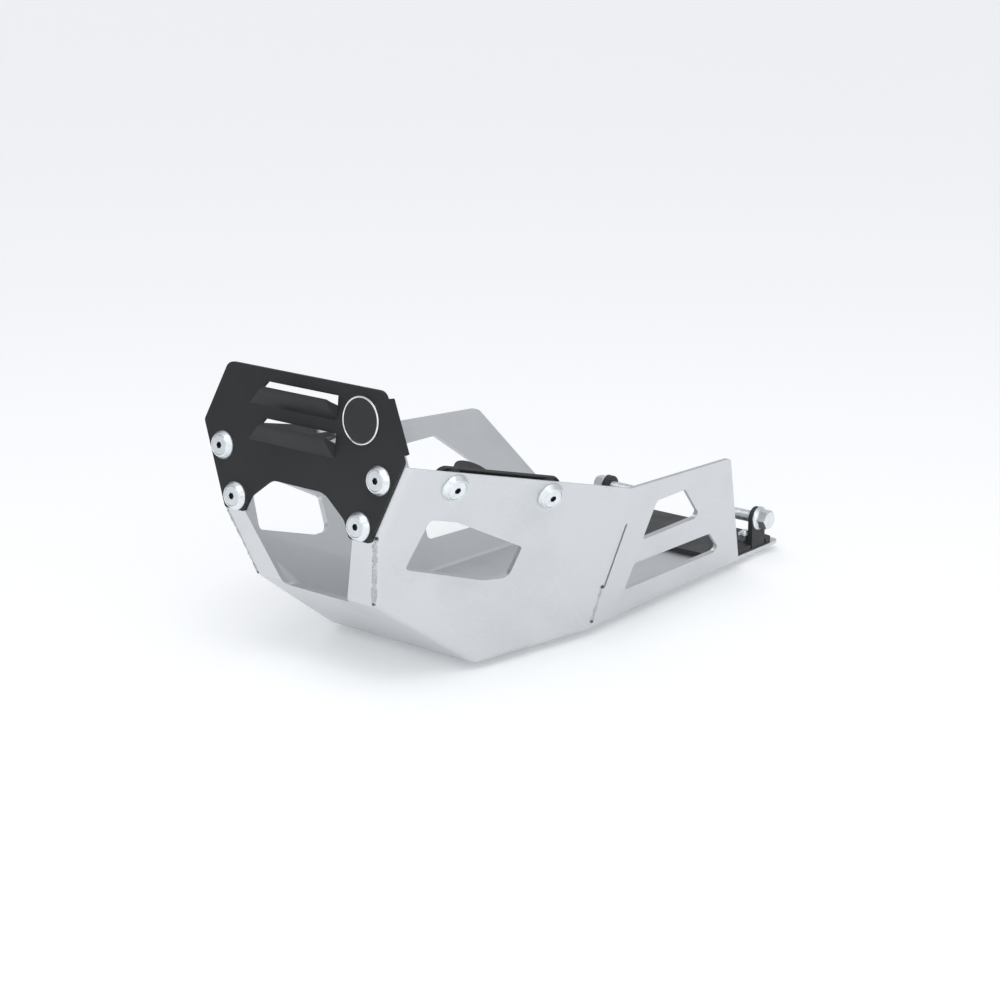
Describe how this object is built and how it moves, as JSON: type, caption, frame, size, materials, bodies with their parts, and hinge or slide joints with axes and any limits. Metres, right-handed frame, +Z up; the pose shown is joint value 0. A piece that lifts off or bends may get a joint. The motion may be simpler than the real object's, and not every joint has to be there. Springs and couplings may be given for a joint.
{
  "type": "motorcycle skid plate",
  "caption": "Folded aluminium pan that guards a motorcycle's engine, with a black louvred front plate, countersunk screws in cup washers and a rear bolt bracket.",
  "frame": {"origin": "on the underside of the flat bottom, on the middle plane, midway between the front fold and the rear edge", "axes": "+X to the rear of the motorcycle, +Y to its right, +Z up"},
  "size_m": [0.5525, 0.3078, 0.2494],
  "materials": {
    "pan": "satin",
    "plate": "satin",
    "badge_rim": "polished",
    "badge_face": "gloss",
    "zinc": "satin",
    "bush": "matte",
    "bracket": "matte"
  },
  "bodies": {
    "root": {"belly_pan": "pan", "front_plate": "plate", "badge_ring": "badge_rim", "badge_disc": "badge_face", "rear_bracket": "bracket", "side_bracket_left": "bracket", "side_bracket_right": "bracket", "side_bush_front_left": "bush", "side_bush_rear_left": "bush", "side_bush_front_right": "bush", "side_bush_rear_right": "bush", "plate_screw_upper_left": "zinc", "plate_screw_lower_left": "zinc", "plate_screw_upper_right": "zinc", "plate_screw_lower_right": "zinc", "plate_cup_upper_left": "zinc", "plate_cup_lower_left": "zinc", "plate_cup_upper_right": "zinc", "plate_cup_lower_right": "zinc", "plate_nut_upper_left": "zinc", "plate_nut_lower_left": "zinc", "plate_nut_upper_right": "zinc", "plate_nut_lower_right": "zinc", "side_screw_front_left": "zinc", "side_screw_rear_left": "zinc", "side_screw_front_right": "zinc", "side_screw_rear_right": "zinc", "side_cup_front_left": "zinc", "side_cup_rear_left": "zinc", "side_cup_front_right": "zinc", "side_cup_rear_right": "zinc", "side_nut_front_left": "zinc", "side_nut_rear_left": "zinc", "side_nut_front_right": "zinc", "side_nut_rear_right": "zinc", "tongue_screw_left": "zinc", "tongue_screw_right": "zinc", "tongue_cup_left": "zinc", "tongue_cup_right": "zinc", "tongue_nut_left": "zinc", "tongue_nut_right": "zinc", "flange_bolt_left": "zinc", "flange_bolt_right": "zinc"}
  },
  "joints": []
}
